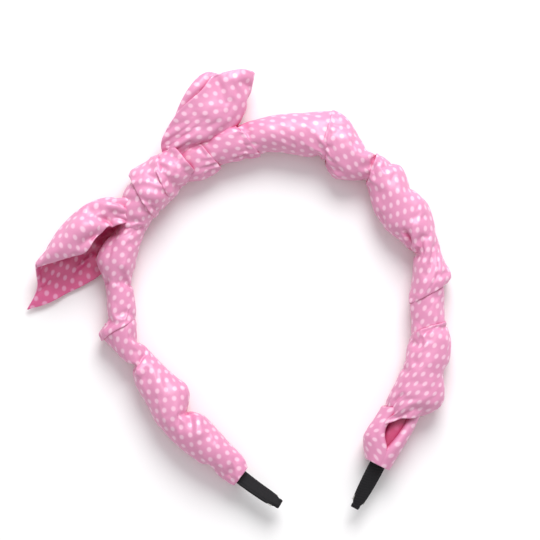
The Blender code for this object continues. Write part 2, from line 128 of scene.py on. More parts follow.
camera_data = bpy.data.cameras.new("camera")
camera_data.sensor_width = SENSOR
camera_data.lens = SENSOR * CAMERA_DISTANCE / VIEW_WIDTH
camera = bpy.data.objects.new("camera", camera_data)
camera.location = VIEW_MIDDLE + Vector((0, 0, CAMERA_DISTANCE))
camera.rotation_euler = (0, 0, CAMERA_TURN)
bpy.context.collection.objects.link(camera)
bpy.context.scene.camera = camera
bpy.context.scene.view_settings.view_transform = "Standard"
print("lens:", round(camera_data.lens, 1), "mm")


# %% [markdown]
# Colours are written as they look on a screen and turned into light levels by one function.

# %% Colours and the node helper
def linear(hex_colour):
    """An sRGB hex colour as linear RGBA."""
    channels = [int(hex_colour[i:i + 2], 16) / 255 for i in (1, 3, 5)]
    levels = [c / 12.92 if c <= 0.04045 else ((c + 0.055) / 1.055) ** 2.4 for c in channels]
    return (*levels, 1.0)


def node(material, kind, settings=None, **inputs):
    """Add a node; an input given as a node's output is linked, and any other value is set."""
    made = material.node_tree.nodes.new(kind)
    for key, value in (settings or {}).items():
        setattr(made, key, value)
    for key, value in inputs.items():
        socket = made.inputs[int(key[1:])] if key[0] == "i" and key[1:].isdigit() else made.inputs[key]
        if isinstance(value, bpy.types.NodeSocket):
            material.node_tree.links.new(value, socket)
        else:
            socket.default_value = value
    return made


def new_material(name):
    material = bpy.data.materials.new(name)
    material.use_nodes = True
    material.node_tree.nodes.clear()
    return material


def finish_with(material, shader):
    output = node(material, "ShaderNodeOutputMaterial", Surface=shader.outputs[0])
    output.location = (400, 0)
    return material


# %% [markdown]
# ## Floor
# A plain, nearly white table, matt enough to show only a soft shadow.

# %% Floor
def painted_board():
    """A matt white board: no pattern, hardly any gloss."""
    material = new_material("matt_white_board")
    shader = node(material, "ShaderNodeBsdfPrincipled", Roughness=0.9)
    shader.inputs["Base Color"].default_value = linear("#F8F7F8")
    return finish_with(material, shader)


FLOOR_SIZE = 3.0
floor_mesh = bpy.data.meshes.new("floor")
half = FLOOR_SIZE / 2
floor_corners = [(-half, -half, 0), (half, -half, 0), (half, half, 0), (-half, half, 0)]
floor_mesh.from_pydata(floor_corners, [], [(0, 1, 2, 3)])
floor_mesh.materials.append(painted_board())
floor = bpy.data.objects.new("floor", floor_mesh)
floor.location.z = -0.0003
bpy.context.collection.objects.link(floor)


# %% [markdown]
# ## Light
# One large soft box beyond the crown, with an even fill all round it.

# %% Light
def soft_box(name, place_at, size, power, colour="#FFFFFF"):
    data = bpy.data.lights.new(name, "AREA")
    data.shape = "DISK"
    data.size = size
    data.energy = power
    data.color = linear(colour)[:3]
    lamp = bpy.data.objects.new(name, data)
    lamp.location = place_at
    lamp.rotation_euler = (-Vector(place_at)).to_track_quat("-Z", "Y").to_euler()
    bpy.context.collection.objects.link(lamp)


soft_box("key_beyond_crown", (0.34, 0.86, 0.88), 0.8, 15.5)

world = bpy.data.worlds.new("studio")
world.use_nodes = True
world.node_tree.nodes["Background"].inputs["Color"].default_value = linear("#FFFFFF")
world.node_tree.nodes["Background"].inputs["Strength"].default_value = 0.62
bpy.context.scene.world = world

# %% [markdown]
# ## Satin with polka dots
# The sash is a light polyester satin. Its long floats of filament yarn lie side by side, so it shines
# in soft bands along the folds. Inside a fold its ground turns a darker pink: painted shade, found by
# an occlusion test, that stands in for light bounced from pink to pink. The dots are printed in rows,
# each row shifted by half a step. Two rectangular lattices, one in the gaps of the other, make it: the
# nearer centre of the two decides. The cloth's own coordinates are in millimetres, with the rows along the
# first.

# %% Satin
DOT_PITCH = 4.7        # mm from one dot to the next in a row
DOT_ROW = 3.05         # mm from one row to the next
DOT_RADIUS = 0.92      # mm
DOT_SOFTNESS = 0.75    # mm over which the ink fades out
# The next length is how far the occlusion test for painted fold shade looks for nearby cloth.
FOLD_SHADE_REACH = 13 * MM   # how far into a fold the light still reaches
RIB_SPACING = 0.55     # mm, the satin's fine ribs, drawn about three times as coarse as the yarn


def lattice_distance(material, cloth, shift):
    """Distance in mm to the nearest centre of a rectangular lattice."""
    cell = (DOT_PITCH, 2 * DOT_ROW, 1.0)
    moved = node(material, "ShaderNodeVectorMath", {"operation": "ADD"}, i0=cloth, i1=(*shift, 0.0))
    scaled = node(material, "ShaderNodeVectorMath", {"operation": "DIVIDE"}, i0=moved.outputs[0], i1=cell)
    inside = node(material, "ShaderNodeVectorMath", {"operation": "FRACTION"}, i0=scaled.outputs[0])
    centred = node(material, "ShaderNodeVectorMath", {"operation": "SUBTRACT"},
                   i0=inside.outputs[0], i1=(0.5, 0.5, 0.0))
    sized = node(material, "ShaderNodeVectorMath", {"operation": "MULTIPLY"},
                 i0=centred.outputs[0], i1=cell)
    length = node(material, "ShaderNodeVectorMath", {"operation": "LENGTH"}, i0=sized.outputs[0])
    return length.outputs["Value"]


def dotted_satin(name, base, dot, patch, painted_fold_shade):
    """Printed satin: its ground, its dots, the cloudy patches of its ground, and the darker colour painted
    into its folds as shade.
    """
    material = new_material(name)
    cloth = node(material, "ShaderNodeUVMap", {"uv_map": "cloth"})
    flat = node(material, "ShaderNodeVectorMath", {"operation": "MULTIPLY"},
                i0=cloth.outputs[0], i1=(1.0, 1.0, 0.0))
    half_cell = (DOT_PITCH / 2, DOT_ROW)
    near = lattice_distance(material, flat.outputs[0], (0.0, 0.0))
    other = lattice_distance(material, flat.outputs[0], half_cell)
    nearest = node(material, "ShaderNodeMath", {"operation": "MINIMUM"}, i0=near, i1=other)
    ink = node(material, "ShaderNodeMapRange", {"interpolation_type": "SMOOTHSTEP"}, Value=nearest.outputs[0])
    ink.inputs["From Min"].default_value = DOT_RADIUS + DOT_SOFTNESS / 2
    ink.inputs["From Max"].default_value = DOT_RADIUS - DOT_SOFTNESS / 2
    where = node(material, "ShaderNodeTexCoord").outputs["Object"]
    cloudy = node(material, "ShaderNodeTexNoise", Vector=where, Scale=90.0, Detail=2.0)
    ground = node(material, "ShaderNodeMix", {"data_type": "RGBA"}, Factor=cloudy.outputs[0])
    ground.inputs["A"].default_value = linear(base)
    ground.inputs["B"].default_value = linear(patch)
    printed = node(material, "ShaderNodeMix", {"data_type": "RGBA"}, Factor=ink.outputs[0])
    material.node_tree.links.new(ground.outputs["Result"], printed.inputs["A"])
    printed.inputs["B"].default_value = linear(dot)
    # Painted shade: where other cloth lies close, the occlusion test turns the ground to the darker fold
    # colour.
    shelter = node(material, "ShaderNodeAmbientOcclusion", {"samples": 8}, Distance=FOLD_SHADE_REACH)
    openness = node(material, "ShaderNodeMapRange", {"interpolation_type": "SMOOTHSTEP"},
                    Value=shelter.outputs["AO"])
    openness.inputs["From Min"].default_value = 0.10
    openness.inputs["From Max"].default_value = 0.85
    colour = node(material, "ShaderNodeMix", {"data_type": "RGBA"}, Factor=openness.outputs[0])
    colour.inputs["A"].default_value = linear(painted_fold_shade)
    material.node_tree.links.new(printed.outputs["Result"], colour.inputs["B"])
    rib = node(material, "ShaderNodeTexWave", {"bands_direction": "X"},
               Vector=flat.outputs[0], Distortion=0.6)
    rib.inputs["Scale"].default_value = 2 * math.pi / (20 * RIB_SPACING)
    bump = node(material, "ShaderNodeBump", Height=rib.outputs[0], Strength=0.12, Distance=0.00004)
    gloss = node(material, "ShaderNodeMapRange", Value=ink.outputs[0])
    gloss.inputs["To Min"].default_value = 0.44
    gloss.inputs["To Max"].default_value = 0.40
    shader = node(material, "ShaderNodeBsdfPrincipled", Roughness=gloss.outputs[0], Normal=bump.outputs[0])
    material.node_tree.links.new(colour.outputs["Result"], shader.inputs["Base Color"])
    shader.inputs["IOR"].default_value = 1.54
    shader.inputs["Specular IOR Level"].default_value = 0.85
    shader.inputs["Sheen Weight"].default_value = 0.15
    shader.inputs["Sheen Roughness"].default_value = 0.4
    shader.inputs["Sheen Tint"].default_value = linear("#FFE6F1")
    glow = node(material, "ShaderNodeBsdfTranslucent", Color=linear("#E4528F"))
    cloth_shader = node(material, "ShaderNodeMixShader", Fac=0.12)
    material.node_tree.links.new(shader.outputs[0], cloth_shader.inputs[1])
    material.node_tree.links.new(glow.outputs[0], cloth_shader.inputs[2])
    return finish_with(material, cloth_shader)


# The last colour of each satin is the painted shade of its folds.
satin = dotted_satin("pink_polka_dot_satin", "#E48FBA", "#FBC8E1", "#E898C0", "#E23A82")
# A darker copy of the satin for the ears' inner faces: painted shade inside the fold.
ear_painted_shade_satin = dotted_satin("pink_dotted_satin_ear_painted_shade", "#E2558F", "#F6A6CD", "#E868A2", "#D32A74")
# The wrong side of the satin, duller and faintly printed, darkened further as painted shade of the open end's
# hollow.
wrong_side_painted_shade_satin = dotted_satin("pink_satin_wrong_side_painted_shade", "#D9467F", "#DC5A8E", "#CF3D76", "#B52A62")

# %% [markdown]
# ## Turns of the sash
# A turn is a short padded tube round the strip. Its stations say how far it reaches away from the head,
# towards the head and up, at a few places along the hoop, and a smooth curve without overshoot joins
# them. Where a turn lies over its neighbour it ends in a rim, which crosses the hoop at a slant and
# stands off the cloth below. Where it goes under, it shrinks and carries on out of sight.

# %% Curves through stations
def smooth_through(xs, ys, x):
    """A curve through the stations that never overshoots them. ys may have several columns."""
    xs = np.asarray(xs, float)
    ys = np.asarray(ys, float)
    gaps = np.diff(xs)
    slopes = np.diff(ys, axis=0) / gaps[:, None]
    tangents = np.zeros_like(ys)
    tangents[0], tangents[-1] = slopes[0], slopes[-1]
    same_way = slopes[:-1] * slopes[1:] > 0
    total = np.where(same_way, slopes[:-1] + slopes[1:], 1.0)
    tangents[1:-1] = np.where(same_way, 2 * slopes[:-1] * slopes[1:] / total, 0.0)
    x = np.clip(x, xs[0], xs[-1])
    i = np.clip(np.searchsorted(xs, x, side="right") - 1, 0, len(xs) - 2)
    gap = gaps[i][..., None]
    t = (x - xs[i])[..., None] / gap
    return ((2 * t**3 - 3 * t**2 + 1) * ys[i] + (t**3 - 2 * t**2 + t) * gap * tangents[i]
            + (3 * t**2 - 2 * t**3) * ys[i + 1] + (t**3 - t**2) * gap * tangents[i + 1])


def ease(t):
    t = np.clip(t, 0.0, 1.0)
    return t * t * (3 - 2 * t)


# %% [markdown]
# ## One turn of the sash
# The real sash is a folded length of satin over a soft filling. Each turn is a tube of cloth whose
# width comes from its stations; its folds are added before it is given its thickness.

# %% One turn as a sheet
ROUND_STEPS = 80
ROW_STEP = 0.8
CLOTH_THICKNESS = 0.8
REST = -7.75           # mm, the lowest a turn reaches: it is flat where it lies on the table
BELLY = 8.6
TUCK_LENGTH = 5.0
TUCK_SINK = 2.0
RIM_LIFT = 1.25
RIM_REACH = 5.0
SQUARENESS = 0.86


def section_points(radii, angle):
    """Across and up for a section given by its reach out, in and up."""
    across = np.cos(angle)
    rise = np.sin(angle)
    across = np.sign(across) * np.abs(across) ** SQUARENESS
    rise = np.sign(rise) * np.abs(rise) ** SQUARENESS
    x = across * np.where(across > 0, radii[..., 0], radii[..., 1])
    z = rise * np.where(rise > 0, radii[..., 2], BELLY)
    return x, np.maximum(z, REST)


FOLD_ROOM = 0.4        # the folds stand this much proud of the cloth between them


def reach_at(stations, s, row=None):
    """The three reaches at s; rows past either end shrink, because the turn is tucked away there."""
    table = np.array(stations, float)
    inside = smooth_through(table[:, 0], table[:, 1:], s) - FOLD_ROOM
    row = s if row is None else row
    past = np.maximum(np.maximum(table[0, 0] - row, row - table[-1, 0]), 0.0)
    return inside - TUCK_SINK * ease(past / (0.6 * TUCK_LENGTH))[..., None]


def slant(lean, x):
    """How far a rim moves along the hoop at a place across it; lean is (outer, inner)."""
    return -np.where(x > 0, lean[0], lean[1]) * x


def fold_heights(folds, s, x, z):
    """How far the folds lift each point. A fold is (places, height, width one side, other side)."""
    lift = np.zeros_like(s)
    top = ease((z + 1.0) / 4.0)
    for places, height, near, far in folds:
        best = np.full(s.shape, 1e9)
        gain = np.zeros(s.shape)
        count = len(places) - 1
        for number in range(count):
            a = np.array(places[number], float)
            b = np.array(places[number + 1], float)
            along = b - a
            length = np.hypot(*along)
            ds = s - a[0]
            dx = x - a[1]
            raw = (ds * along[0] + dx * along[1]) / length**2
            t = np.clip(raw, 0, 1)
            side = (along[0] * dx - along[1] * ds) / length
            away = np.hypot(ds - t * along[0], dx - t * along[1])
            width = np.where(side > 0, far, near)
            whole = (number + t) / count
            taper = ease(4 * whole) * ease(4 * (1 - whole))
            closer = away < best
            gain = np.where(closer, np.exp(-((away / width) ** 2)) * taper, gain)
            best = np.minimum(best, away)
        lift += height * gain * top
    return lift


def wrinkles(seed, s, u, size, stretch, amount):
    """Fine uneven wrinkles, long in the direction of the hoop."""
    out = np.zeros_like(s)
    for index in np.ndindex(s.shape):
        spot = Vector((s[index] / (size * stretch), u[index] / size, seed * 7.31))
        out[index] = noise.noise(spot)
    return amount * out


def add_sheet(name, grid, uv, closed, material=satin):
    """A grid of points (rows, columns, 3) as a mesh; uv is in mm."""
    rows, columns = grid.shape[:2]
    mesh = bpy.data.meshes.new(name)
    faces = []
    corners = []
    for i in range(rows - 1):
        for k in range(columns if closed else columns - 1):
            n = (k + 1) % columns
            faces.append((i * columns + k, i * columns + n, (i + 1) * columns + n, (i + 1) * columns + k))
            corners += [uv[i, k], uv[i, k + 1], uv[i + 1, k + 1], uv[i + 1, k]]
    mesh.from_pydata(grid.reshape(-1, 3).tolist(), [], faces)
    layer = mesh.uv_layers.new(name="cloth")
    layer.data.foreach_set("uv", np.array(corners, np.float32).ravel())
    mesh.materials.append(material)
    mesh.shade_smooth()
    obj = bpy.data.objects.new(name, mesh)
    bpy.context.collection.objects.link(obj)
    return obj


def rows_along(round_it, s, directions):
    """Cloth coordinates whose rows of dots turn steadily from one direction to another, in degrees
    from the hoop's own direction towards the head. It is exact along the top of the stretch."""
    share = (s - s[0]) / (s[-1] - s[0])
    turn = np.radians(directions[0] + (directions[1] - directions[0]) * share)
    step = np.diff(s, prepend=s[0])
    along = np.cumsum(np.cos(turn) * step)
    across = np.cumsum(-np.sin(turn) * step)
    return np.stack([along[:, None] + round_it * np.sin(turn)[:, None],
                     across[:, None] + round_it * np.cos(turn)[:, None]], axis=-1)


def make_solid(obj, thickness, offset=-1.0, inside=None):
    """Give the sheet its thickness and round it off, then keep the result as the mesh."""
    skin = obj.modifiers.new("thickness", "SOLIDIFY")
    skin.thickness = thickness * MM
    skin.offset = offset
    skin.use_even_offset = False
    if inside:
        obj.data.materials.append(inside)
        skin.material_offset = 1
    smooth = obj.modifiers.new("smooth", "SUBSURF")
    smooth.levels = 1
    smooth.render_levels = 1
    bpy.context.view_layer.update()
    depsgraph = bpy.context.evaluated_depsgraph_get()
    final = bpy.data.meshes.new_from_object(obj.evaluated_get(depsgraph), depsgraph=depsgraph)
    obj.modifiers.clear()
    obj.data = final
    return obj


def ring_lengths(points):
    """Distance round each ring from its top, both ways; the seam is at the bottom."""
    joined = np.concatenate([points, points[:, :1]], axis=1)
    steps = np.linalg.norm(np.diff(joined, axis=1), axis=2) / MM
    walked = np.concatenate([np.zeros((len(points), 1)), np.cumsum(steps, axis=1)], axis=1)
    return walked - walked[:, [ROUND_STEPS // 2]]


# %% [markdown]
# ## Settling
# A short cloth simulation gives a turn the small buckles that cloth held at both ends has. It runs for
# a fixed time, not until it is at rest, and only its fine part is kept, so that it adds wrinkles
# without changing a turn's size.

# %% Settle a turn as cloth
SOLVER_SCALE = 20.0    # the cloth solver is tuned for metres, so a turn is settled twenty times over
SETTLE_FRAMES = 14
HELD_ROWS = 2
BROADEN_PASSES = 12    # more passes count broader waves as wrinkles
EXTRA_CLOTH = 0.06     # share by which a turn has more cloth than room
EAR_EXTRA_CLOTH = 0.05
WRINKLE_CAP = 1.3      # mm, the most that settling moves a point of a turn
EAR_WRINKLE_CAP = 1.2
PLACE_GUESSES = 3      # passes that find how far a leaning rim moves along the hoop


def broad_part(move, closed):
    """The part of a movement that is broader than a wrinkle; leaving it out keeps the turn's size."""
    rows = move.shape[0]
    columns = move.shape[1]
    for _ in range(BROADEN_PASSES):
        spread = np.pad(move, ((2, 2), (0, 0), (0, 0)), mode="edge")
        move = (spread[:rows] + move + spread[4:]) / 3
        spread = np.pad(move, ((0, 0), (2, 2), (0, 0)), mode="wrap" if closed else "edge")
        move = (spread[:, :columns] + move + spread[:, 4:]) / 3
    return move


def settled(grid, slack, cap, closed=True, pressure=1.5):
    """The grid, in metres, after a short cloth simulation. There is a little more cloth than room, so
    it buckles between its held ends; no point moves further than the cap, in mm."""
    if slack <= 0:
        return grid
    rows, columns = grid.shape[:2]
    start = grid.reshape(-1, 3) * SOLVER_SCALE
    faces = [(i * columns + k, i * columns + (k + 1) % columns,
              (i + 1) * columns + (k + 1) % columns, (i + 1) * columns + k)
             for i in range(rows - 1) for k in range(columns if closed else columns - 1)]
    mesh = bpy.data.meshes.new("settling")
    mesh.from_pydata(start.tolist(), [], faces)
    obj = bpy.data.objects.new("settling", mesh)
    bpy.context.collection.objects.link(obj)
    held = list(range(HELD_ROWS * columns)) + list(range((rows - HELD_ROWS) * columns, rows * columns))
    obj.vertex_groups.new(name="held").add(held, 1.0, "REPLACE")
    cloth = obj.modifiers.new("cloth", "CLOTH")
    cloth.collision_settings.use_collision = False
    settings = cloth.settings
    settings.quality = 6
    settings.mass = 0.1
    settings.tension_stiffness = 12.0
    settings.compression_stiffness = 12.0
    settings.shear_stiffness = 6.0
    settings.bending_stiffness = 0.25
    settings.air_damping = 2.0
    settings.vertex_group_mass = "held"
    settings.shrink_min = -slack
    settings.use_pressure = True
    settings.uniform_pressure_force = pressure
    settings.effector_weights.gravity = 0.0
    scene = bpy.context.scene
    for number in range(1, SETTLE_FRAMES + 1):
        scene.frame_set(number)
    depsgraph = bpy.context.evaluated_depsgraph_get()
    result = obj.evaluated_get(depsgraph).data
    after = np.empty(len(start) * 3)
    result.vertices.foreach_get("co", after)
    move = ((after.reshape(-1, 3) - start) / SOLVER_SCALE).reshape(grid.shape)
    move -= broad_part(move, closed)
    far = np.linalg.norm(move, axis=2, keepdims=True)
    move *= np.minimum(1.0, cap * MM / np.maximum(far, 1e-9))
    capped = 100 * (far > cap * MM).mean()
    print("  settled: middle move %.2f mm, largest %.2f mm, %.1f%% of points held at %.1f mm"
          % (np.median(far) / MM, far.max() / MM, capped, cap))
    bpy.data.objects.remove(obj)
    bpy.data.meshes.remove(mesh)
    scene.frame_set(1)
    return grid + move


def tension_folds(seed, s, u, slope, amount):
    """Long soft folds with sharp ridges, running round the sash as they go along it."""
    turn = math.atan(slope)
    across = u * math.cos(turn) - s * math.sin(turn)
    along = u * math.sin(turn) + s * math.cos(turn)
    out = np.zeros_like(s)
    for index in np.ndindex(s.shape):
        spot = Vector((across[index] / 4.2, along[index] / 17.0, seed * 3.77))
        out[index] = noise.noise(spot)
    return amount * (1.0 - np.sqrt(out * out + 0.004) * 4.0)


def sash_turn(name, stations, low, high, folds=(), under=(), rows_turn=(-15.0, -15.0), seed=0,
              ripple=0.25, pucker=0.4, slope=0.35, drag=0.45, slack=EXTRA_CLOTH,
              lifts=(RIM_LIFT, RIM_LIFT), material=satin):
    """A turn of the sash. low and high are (kind, lean out, lean in), kind being rim or tuck.
    lifts is how far its rims stand off the cloth below, on the outer side and on the inner one."""
    first, last = stations[0][0], stations[-1][0]
    start = first - (TUCK_LENGTH if low[0] == "tuck" else 0.0)
    stop = last + (TUCK_LENGTH if high[0] == "tuck" else 0.0)
    rows = max(6, int(round((stop - start) / ROW_STEP)) + 1)
    s, angle = np.meshgrid(np.linspace(start, stop, rows),
                           -math.pi / 2 + 2 * math.pi * np.arange(ROUND_STEPS) / ROUND_STEPS, indexing="ij")
    t = np.clip((s - first) / (last - first), 0, 1)
    place_s = s
    for _ in range(PLACE_GUESSES):
        x, z = section_points(reach_at(stations, place_s, s), angle)
        place_s = s + (1 - t) * slant(low[1:], x) + t * slant(high[1:], x)
    for other in under:
        ox, oz = section_points(reach_at(other, place_s), angle)
        inner_share = ease(0.5 - x / 8.0)
        need = np.hypot(ox, oz) + lifts[0] + (lifts[1] - lifts[0]) * inner_share
        have = np.hypot(x, z)
        nearness = np.zeros_like(s)
        if low[0] == "rim":
            nearness = np.maximum(nearness, ease(1 - (s - first) / RIM_REACH))
        if high[0] == "rim":
            nearness = np.maximum(nearness, ease(1 - (last - s) / RIM_REACH))
        grow = np.where(need > have, 1 + nearness * (need / have - 1), 1.0)
        x = x * grow
        z = np.maximum(z * grow, REST)
    u = np.hypot(x, z) * (angle - math.pi / 2)
    ends = np.minimum(s - first, last - s)
    near_end = ease(1 - ends / 7.0)
    lift = fold_heights(folds, place_s, x, z)
    lift += wrinkles(seed, place_s, u, 5.0, 2.6, ripple)
    lift += tension_folds(seed, place_s, u, slope, drag) * ease((z + 4.0) / 8.0)
    lift += wrinkles(seed + 50, place_s, u, 2.2, 2.5, pucker) * near_end
    reach = np.hypot(x, z)
    x = x * (1 + lift / reach)
    z = np.where(z <= REST, REST, z * (1 + lift / reach))
    z = np.maximum(z, REST)
    points = settled(place(place_s, x, z), slack, WRINKLE_CAP)
    points[..., 2] = np.maximum(points[..., 2], (REST + SHIFT[2]) * MM)
    uv = rows_along(ring_lengths(points), s[:, 0], rows_turn)
    obj = add_sheet(name + "_satin", points, uv, True, material)
    return make_solid(obj, CLOTH_THICKNESS)


# %% [markdown]
# ## Where each stretch lies
# Each table row is (s, out, in, up), in millimetres. A stretch between two full creases is one piece,
# and its waists and its part folds are in its own stations and folds. A fold is a line of places
# (s, out) with a height and the width of its slope on each side: a steep side and a gentle side read
# as one layer lying on the next, and a negative height is a groove.

# %% Stations of the stretches
STRETCHES = {
    "sash_left_upper": (
        (-100, 10.8, 5.2, 6.4), (-97, 6.3, 5.6, 6.6), (-93, 5.1, 6.0, 6.6), (-87, 4.8, 5.9, 6.6),
        (-83, 5.2, 4.6, 6.6), (-79.5, 7.4, 4.8, 7.2), (-74.6, 10.0, 5.9, 8.2), (-69.5, 8.6, 5.9, 8.2),
        (-63.8, 5.8, 5.6, 7.6), (-58, 4.8, 5.6, 7.0)),
    "sash_left_lower": (
        (-176.4, 4.7, 4.8, 4.9), (-173, 4.7, 6.8, 5.4), (-169, 4.7, 7.2, 6.2), (-164, 5.2, 7.6, 7.0),
        (-160.4, 6.8, 8.0, 7.4), (-155, 7.8, 8.3, 7.6), (-149.4, 8.2, 8.6, 7.4), (-146, 8.6, 6.6, 7.2),
        (-143, 8.6, 4.6, 7.4), (-140, 8.6, 7.0, 8.0), (-137, 8.3, 9.8, 8.4), (-134, 7.4, 10.8, 8.4),
        (-130, 6.4, 9.6, 8.0), (-124, 6.0, 8.2, 7.4), (-119, 4.6, 7.0, 6.6), (-115.8, 3.3, 5.9, 5.6),
        (-112, 4.8, 5.0, 5.6), (-106.9, 7.2, 3.8, 6.0), (-100, 10.2, 4.9, 6.0)),
    "sash_by_knot": (
        (-28.5, 4.8, 8.0, 6.4), (-23.5, 5.7, 10.4, 6.8), (-17, 5.7, 10.9, 6.8)),
    "sash_crown_left": (
        (-17, 5.3, 8.2, 6.2), (-10, 6.1, 8.8, 7.0), (-4, 5.9, 9.8, 7.2), (0, 5.2, 9.4, 7.0)),
    "sash_crown": (
        (0, 4.5, 8.4, 6.4), (9.6, 6.6, 7.8, 7.8), (18.6, 8.4, 8.1, 8.4), (26, 10.6, 8.1, 8.6),
        (31.5, 12.8, 6.9, 8.4)),
    "sash_crown_right": (
        (31.5, 13.4, 7.4, 8.4), (34, 12.9, 8.2, 8.6), (37.4, 11.2, 10.9, 8.6), (42.9, 7.0, 12.0, 8.4),
        (47.7, 4.8, 9.8, 7.8), (53.5, 4.6, 5.2, 6.2)),
    "sash_right_upper": (
        (53, 6.2, 4.8, 6.8), (57, 6.6, 6.4, 7.2), (61.2, 8.5, 8.9, 7.8), (68.9, 6.0, 11.8, 8.6),
        (76.8, 8.6, 11.6, 8.8), (83.8, 7.4, 8.6, 8.0), (88.5, 6.2, 6.2, 7.2), (93.6, 6.4, 3.4, 7.0),
        (98, 7.3, 5.0, 7.2), (104, 9.0, 6.8, 7.6), (110, 6.9, 8.4, 7.2)),
    "sash_right_middle": (
        (110, 5.8, 8.2, 6.2), (115.5, 5.1, 8.2, 6.2), (122, 5.8, 7.2, 6.2)),
    "sash_right_lower": (
        (122, 6.9, 7.2, 7.2), (129.8, 9.9, 6.8, 8.4), (134, 10.2, 7.4, 8.6), (138.4, 9.2, 7.5, 8.8),
        (148.5, 12.5, 8.0, 9.0), (155.5, 9.4, 8.4, 8.2), (161, 6.6, 8.6, 7.2)),
    "sash_right_base": (
        (158, 4.4, 4.8, 3.6), (170, 4.7, 4.8, 3.6), (181, 4.7, 4.8, 4.2)),
    "knot_left": ((-59.5, 5.2, 5.6, 8.0), (-53.5, 8.2, 6.4, 10.2), (-49.5, 9.2, 6.6, 11.0)),
    "knot_middle": ((-49.5, 9.4, 6.9, 11.4), (-44.6, 12.2, 7.9, 13.0), (-37.5, 9.4, 7.6, 11.6)),
    "knot_right": ((-38.5, 9.2, 7.6, 11.6), (-32.7, 8.2, 7.2, 11.4), (-28.3, 7.4, 6.9, 9.6),
                   (-25.5, 5.8, 6.4, 8.0)),
}

# %% [markdown]
# The larger folds, where one layer of a turn lies on the next.

# %% Folds of the stretches
FOLDS = {
    "sash_left_upper": (
        (((-84, 3), (-81, 7), (-80, 11)), -1.6, 0.9, 1.2),
        (((-80, -2), (-70, -1.5), (-60, 0)), 0.8, 1.6, 2.4),
        (((-79, 4.5), (-70, 5), (-61, 3.5)), -0.7, 1.0, 1.6),
    ),
    "sash_left_lower": (
        (((-115, -5), (-117, 1), (-121, 4)), 1.1, 0.7, 2.5),
        (((-145, -6), (-149, -3), (-154, 1)), 1.4, 0.6, 3.5),
        (((-172, -4), (-160, -3), (-148, 0), (-136, -2)), 0.9, 3.0, 3.5),
    ),
    "sash_crown": (
        (((28, 3), (16, 2), (4, 0)), 0.5, 2.5, 3.0),
    ),
    "sash_crown_right": (
        (((33, -9), (38, -9.5), (44, -9.5)), -1.0, 0.6, 1.2),
        (((52, 1), (44, 3), (35, 6)), 0.6, 2.0, 3.0),
    ),
    "sash_right_upper": (
        (((78, 0), (86, -3), (92, -4.5)), 1.3, 0.6, 3.0),
        (((80, -6), (86, -4.5), (90, -3)), -1.4, 0.6, 0.8),
        (((82, 1.5), (92, 0), (104, -1)), 0.7, 1.1, 1.3),
        (((88, 4.5), (98, 3.5), (106, 2.5)), -0.5, 1.2, 1.4),
    ),
    "sash_right_middle": (
        (((111, 2), (116, 1.5), (121, 2.5)), 0.4, 1.2, 1.4),
    ),
    "sash_right_lower": (
        (((150, -3.5), (156, -5.5), (163, -7)), -1.3, 0.7, 0.9),
        (((146, 0), (138, 2.5), (128, 3)), 0.5, 2.0, 2.5),
        (((157, 4), (152, 6.5), (146, 9)), -0.6, 1.0, 1.6),
    ),
    "sash_crown_left": (
        (((-15, 1), (-8, 1.5), (-1, 0.5)), 0.5, 1.8, 2.2),
    ),
}

# %% [markdown]
# Each stretch ends in a tuck, which hides under its neighbour, or in a rim, which lies on top of it.

# %% Make the stretches
made = {}


def wind(name, low, high, under=(), **extra):
    below = [STRETCHES[other] for other in under]
    made[name] = sash_turn(name, STRETCHES[name], low, high, FOLDS.get(name, ()), below, **extra)
    print(name, len(made[name].data.polygons), "faces")


wind("sash_left_upper", ("rim", 0.3, 0.3), ("tuck", 0.0, 0.0), under=("sash_left_lower",),
     rows_turn=(10.0, -20.0), seed=1)
wind("sash_left_lower", ("rim", 0.0, 0.0), ("tuck", 0.3, 0.3), rows_turn=(-10.0, 0.0), seed=3)
wind("sash_by_knot", ("tuck", 0.0, 0.0), ("rim", 0.3, 0.3), under=("sash_crown_left",),
     rows_turn=(-2.0, 5.0), seed=6)
wind("sash_crown_left", ("tuck", 0.3, 0.3), ("rim", 0.6, 0.6), under=("sash_crown",),
     rows_turn=(5.0, 14.0), seed=7)
wind("sash_crown", ("tuck", 0.6, 0.6), ("tuck", 0.05, 0.45), rows_turn=(-12.0, -34.0), seed=8)
wind("sash_crown_right", ("rim", 0.05, 0.45), ("tuck", 0.3, 0.5), under=("sash_crown",),
     rows_turn=(25.0, -18.0), seed=9, lifts=(0.85, 1.3))
wind("sash_right_upper", ("rim", 0.3, 0.5), ("rim", 0.45, 0.45),
     under=("sash_crown_right", "sash_right_middle"), rows_turn=(0.0, -18.0), seed=10, lifts=(1.1, 0.9))
wind("sash_right_middle", ("tuck", 0.45, 0.45), ("tuck", 0.35, 0.6), rows_turn=(22.0, 5.0), seed=12)
wind("sash_right_lower", ("rim", 0.35, 0.6), ("rim", 0.5, 1.1),
     under=("sash_right_middle", "sash_right_base"), rows_turn=(-15.0, -35.0), seed=13)
# The layer inside the open end lies tight on the tape, so it has no cloth to spare and is not settled.
# Its satin is the wrong side, darkened as painted shade of the opening it lies in.
wind("sash_right_base", ("tuck", 0.0, 0.0), ("rim", 0.0, 0.0), seed=14, ripple=0.1, drag=0.0, slack=0.0,
     material=wrong_side_painted_shade_satin)

# %% [markdown]
# ## The open end of the right leg
# Below the last crease the sash lies open: its two edges are rolled back, and between them shows the
# cloth that hugs the tape.

